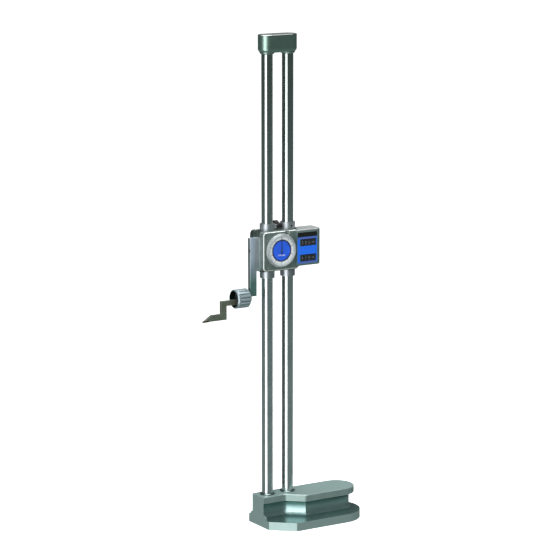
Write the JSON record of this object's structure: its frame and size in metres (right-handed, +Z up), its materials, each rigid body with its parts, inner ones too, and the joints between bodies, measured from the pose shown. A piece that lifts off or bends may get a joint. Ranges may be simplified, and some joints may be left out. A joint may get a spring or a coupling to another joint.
{
  "type": "height gauge",
  "caption": "Dial height gauge: ground base with finger grooves, twin round columns, rack-driven slider with dial, up and down counters, measuring arm and clamped offset scriber.",
  "frame": {"origin": "on the ground underside of the base, midway between the two columns", "axes": "+Z up along the columns, +X from the scriber toward the rounded grip end, the dial faces -Y"},
  "size_m": [0.3067, 0.1015, 0.874],
  "materials": {
    "base_iron": "ground satin",
    "column_steel": "hard chromed and polished",
    "rack_steel": "hobbed",
    "head_steel": "satin plated",
    "ring_steel": "satin",
    "screw_black": "black oxide",
    "casting_alloy": "satin plated",
    "bronze": "turned",
    "felt": "oiled felt",
    "shell_alloy": "satin plated",
    "bezel_alloy": "satin turned",
    "dial_paint": "printed dial",
    "crystal": "clear",
    "pointer_black": "black",
    "gear_brass": "cut",
    "shaft_steel": "turned",
    "arm_steel": "ground, long grain",
    "scriber_steel": "blued and ground",
    "carbide": "ground",
    "nut_steel": "satin plated",
    "lever_black": "moulded",
    "counter_alloy": "satin",
    "panel_blue": "printed",
    "wheel_plastic": "black with white digits",
    "button_black": "moulded"
  },
  "bodies": {
    "stand": {"base_casting": "base_iron", "front_column": "column_steel", "rear_column": "column_steel", "column_rack": "rack_steel", "column_head": "head_steel", "column_seat_rings": "ring_steel", "column_screws": "screw_black", "head_set_screws": "screw_black"},
    "slider": {"slider_casting": "casting_alloy", "guide_bushes": "bronze", "column_wipers": "felt", "rear_cover": "casting_alloy", "rear_cover_screws": "screw_black", "feed_bearings": "bronze", "train_plate": "gear_brass", "train_plate_screws": "shaft_steel", "dial_housing": "shell_alloy", "measuring_arm": "arm_steel", "arm_screw": "screw_black", "arm_dowels": "shaft_steel", "clamp_shoe": "bronze", "collar_set_screw": "screw_black", "counter_housing": "counter_alloy", "counter_panel": "panel_blue", "counter_windows": "crystal", "counter_shafts": "shaft_steel"},
    "feed_drive": {"feed_shaft": "shaft_steel", "feed_wheel": "nut_steel", "rack_pinion": "shaft_steel", "first_gear": "gear_brass"},
    "idler": {"idler_pinion": "shaft_steel", "idler_gear": "gear_brass"},
    "hand": {"pointer_arbor": "shaft_steel", "pointer": "pointer_black"},
    "bezel": {"bezel_ring": "bezel_alloy", "dial_face": "dial_paint", "dial_crystal": "crystal"},
    "bezel_clamp": {"bezel_clamp_screw": "shaft_steel"},
    "slider_clamp": {"clamp_screw": "shaft_steel", "clamp_lever": "lever_black"},
    "scriber_nut": {"scriber_clamp_nut": "nut_steel"},
    "scriber_bar": {"scriber": "scriber_steel", "carbide_tip": "carbide"},
    "up_hundreds": {"up_hundreds_wheel": "wheel_plastic"},
    "up_tens": {"up_tens_wheel": "wheel_plastic"},
    "up_units": {"up_units_wheel": "wheel_plastic"},
    "up_reset": {"up_reset_button": "button_black"},
    "down_hundreds": {"down_hundreds_wheel": "wheel_plastic"},
    "down_tens": {"down_tens_wheel": "wheel_plastic"},
    "down_units": {"down_units_wheel": "wheel_plastic"},
    "down_reset": {"down_reset_button": "button_black"}
  },
  "joints": [
    {"name": "slider_travel", "type": "slide", "parent": "stand", "child": "slider", "axis": [0, 0, 1], "range_m": [-0.381, 0.279]},
    {"name": "feed_wheel_turn", "type": "hinge", "parent": "slider", "child": "feed_drive", "pos_m": [0.00593, 0, 0.4886], "axis": [0, 1, 0], "range_deg": [-3431, 2513]},
    {"name": "idler_turn", "type": "hinge", "parent": "slider", "child": "idler", "pos_m": [-0.01003, 0, 0.48646], "axis": [0, 1, 0], "range_deg": [-16741, 22861]},
    {"name": "pointer_turn", "type": "hinge", "parent": "slider", "child": "hand", "pos_m": [-0.0084, 0, 0.4986], "axis": [0, 1, 0], "range_deg": [-137162, 100442]},
    {"name": "up_units_turn", "type": "hinge", "parent": "slider", "child": "up_units", "pos_m": [0, -0.0209, 0.509], "axis": [1, 0, 0], "range_deg": [-10046, 13718]},
    {"name": "up_tens_turn", "type": "hinge", "parent": "slider", "child": "up_tens", "pos_m": [0, -0.0209, 0.509], "axis": [1, 0, 0], "range_deg": [-1006, 1373]},
    {"name": "up_hundreds_turn", "type": "hinge", "parent": "slider", "child": "up_hundreds", "pos_m": [0, -0.0209, 0.509], "axis": [1, 0, 0], "range_deg": [-102, 139]},
    {"name": "down_units_turn", "type": "hinge", "parent": "slider", "child": "down_units", "pos_m": [0, -0.0209, 0.4816], "axis": [1, 0, 0], "range_deg": [-10046, 13718]},
    {"name": "down_tens_turn", "type": "hinge", "parent": "slider", "child": "down_tens", "pos_m": [0, -0.0209, 0.4816], "axis": [1, 0, 0], "range_deg": [-1006, 1373]},
    {"name": "down_hundreds_turn", "type": "hinge", "parent": "slider", "child": "down_hundreds", "pos_m": [0, -0.0209, 0.4816], "axis": [1, 0, 0], "range_deg": [-102, 139]},
    {"name": "bezel_turn", "type": "hinge", "parent": "slider", "child": "bezel", "pos_m": [-0.0084, 0, 0.4986], "axis": [0, 1, 0], "continuous": true},
    {"name": "bezel_clamp_turn", "type": "hinge", "parent": "slider", "child": "bezel_clamp", "pos_m": [0.00478, 0, 0.5282], "axis": [0, 1, 0], "range_deg": [0, 180]},
    {"name": "clamp_lever_turn", "type": "hinge", "parent": "slider", "child": "slider_clamp", "pos_m": [0, 0, 0.5386], "axis": [1, 0, 0], "range_deg": [-20, 60]},
    {"name": "scriber_nut_turn", "type": "hinge", "parent": "slider", "child": "scriber_nut", "pos_m": [0, 0, 0.416], "axis": [1, 0, 0], "range_deg": [0, 360]},
    {"name": "scriber_slide", "type": "slide", "parent": "slider", "child": "scriber_bar", "axis": [-1, 0, 0], "range_m": [0, 0.01]},
    {"name": "up_reset_press", "type": "slide", "parent": "slider", "child": "up_reset", "axis": [-1, 0, 0], "range_m": [0, 0.0015], "stiffness_N_per_m": 400, "springref_m": -0.001},
    {"name": "down_reset_press", "type": "slide", "parent": "slider", "child": "down_reset", "axis": [-1, 0, 0], "range_m": [0, 0.0015], "stiffness_N_per_m": 400, "springref_m": -0.001}
  ],
  "couplings": [
    {"joint": "feed_wheel_turn", "follows": "slider_travel", "rad_per_m": 157.08},
    {"joint": "idler_turn", "follows": "slider_travel", "rad_per_m": -1047.2},
    {"joint": "pointer_turn", "follows": "slider_travel", "rad_per_m": 6283.2},
    {"joint": "up_units_turn", "follows": "slider_travel", "rad_per_m": -628.32},
    {"joint": "up_tens_turn", "follows": "slider_travel", "rad_per_m": -62.832},
    {"joint": "up_hundreds_turn", "follows": "slider_travel", "rad_per_m": -6.2832},
    {"joint": "down_units_turn", "follows": "slider_travel", "rad_per_m": -628.32},
    {"joint": "down_tens_turn", "follows": "slider_travel", "rad_per_m": -62.832},
    {"joint": "down_hundreds_turn", "follows": "slider_travel", "rad_per_m": -6.2832}
  ]
}
